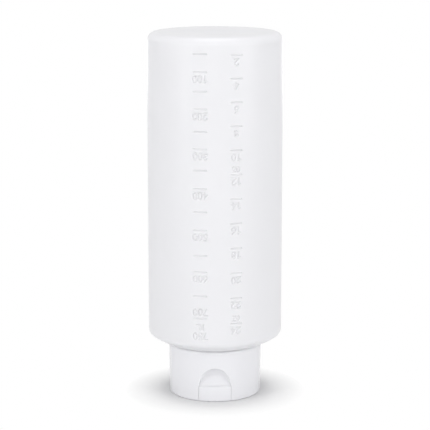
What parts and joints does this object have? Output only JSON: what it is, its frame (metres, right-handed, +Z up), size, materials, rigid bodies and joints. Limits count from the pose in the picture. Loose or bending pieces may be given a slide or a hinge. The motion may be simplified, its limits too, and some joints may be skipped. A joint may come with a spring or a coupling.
{
  "type": "squeeze bottle",
  "caption": "Milky squeeze bottle with a moulded volume scale, stored upside down on its white screw cap with a flush flip-open strip lid.",
  "frame": {"origin": "centre of the cap's face, on the surface the bottle stands on", "axes": "+Z up along the bottle towards its base, which is at the top; -Y is the front, where the lid's tab and the volume scale are; +X is to the right seen from the front"},
  "size_m": [0.0762, 0.0762, 0.2075],
  "materials": {
    "milky_polyethylene": "satin, translucent",
    "white_polypropylene": "gloss",
    "clear_silicone": "satin, translucent",
    "seal_foam": "matte foam"
  },
  "bodies": {
    "bottle": {"bottle": "milky_polyethylene"},
    "seal": {"neck_seal": "seal_foam"},
    "cap": {"cap_body": "white_polypropylene", "dispensing_valve": "clear_silicone", "valve_retainer": "white_polypropylene"},
    "lid": {"lid": "white_polypropylene"}
  },
  "joints": [
    {"name": "cap_lift", "type": "slide", "parent": "bottle", "child": "seal", "axis": [0, 0, -1], "range_m": [0, 0.0053]},
    {"name": "cap_turn", "type": "hinge", "parent": "seal", "child": "cap", "pos_m": [0, 0, 0], "axis": [0, 0, -1], "range_deg": [0, 450]},
    {"name": "lid_flip", "type": "hinge", "parent": "cap", "child": "lid", "pos_m": [0, 0.00985, 0], "axis": [1, 0, 0], "range_deg": [0, 150]}
  ],
  "couplings": [
    {"joint": "cap_lift", "follows": "cap_turn", "m_per_rad": 0.0006737}
  ]
}
